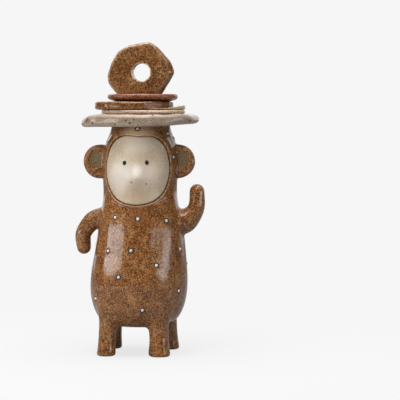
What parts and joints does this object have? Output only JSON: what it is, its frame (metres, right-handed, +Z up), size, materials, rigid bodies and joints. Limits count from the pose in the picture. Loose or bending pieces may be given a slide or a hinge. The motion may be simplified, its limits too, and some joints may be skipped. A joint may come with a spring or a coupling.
{
  "type": "monkey figurine",
  "caption": "Standing ceramic monkey figurine on short legs with disc ears, a pressed-in face, one arm raised, a stacked slab hat and a pierced stone on top.",
  "frame": {"origin": "on the ground, under the middle of the belly", "axes": "+Z up, -Y the way the monkey faces, +X towards its raised left arm"},
  "size_m": [0.0904, 0.076, 0.2175],
  "materials": {
    "body_glaze": "gloss",
    "olive_glaze": "gloss",
    "brim_glaze": "gloss",
    "pink_glaze": "gloss",
    "pale_glaze": "gloss",
    "speckled_glaze": "gloss",
    "red_glaze": "gloss",
    "stone_glaze": "gloss",
    "face_glaze": "gloss",
    "eye_glaze": "gloss",
    "dot_clay": "gloss"
  },
  "bodies": {
    "root": {"leg_front_left": "body_glaze", "leg_front_right": "body_glaze", "leg_rear_left": "body_glaze", "leg_rear_right": "body_glaze", "arm_left": "body_glaze", "arm_right": "body_glaze", "ear_left": "body_glaze", "inner_ear_left": "olive_glaze", "ear_right": "body_glaze", "inner_ear_right": "olive_glaze", "hat_brim": "brim_glaze", "hat_lower_slab": "pink_glaze", "hat_chip_slab": "pale_glaze", "hat_speckled_slab": "speckled_glaze", "hat_red_slab": "red_glaze", "hat_stone": "stone_glaze", "face_plate": "face_glaze", "eye_right": "eye_glaze", "eye_left": "eye_glaze", "dot_plugs": "dot_clay", "body_shell": "body_glaze"}
  },
  "joints": []
}
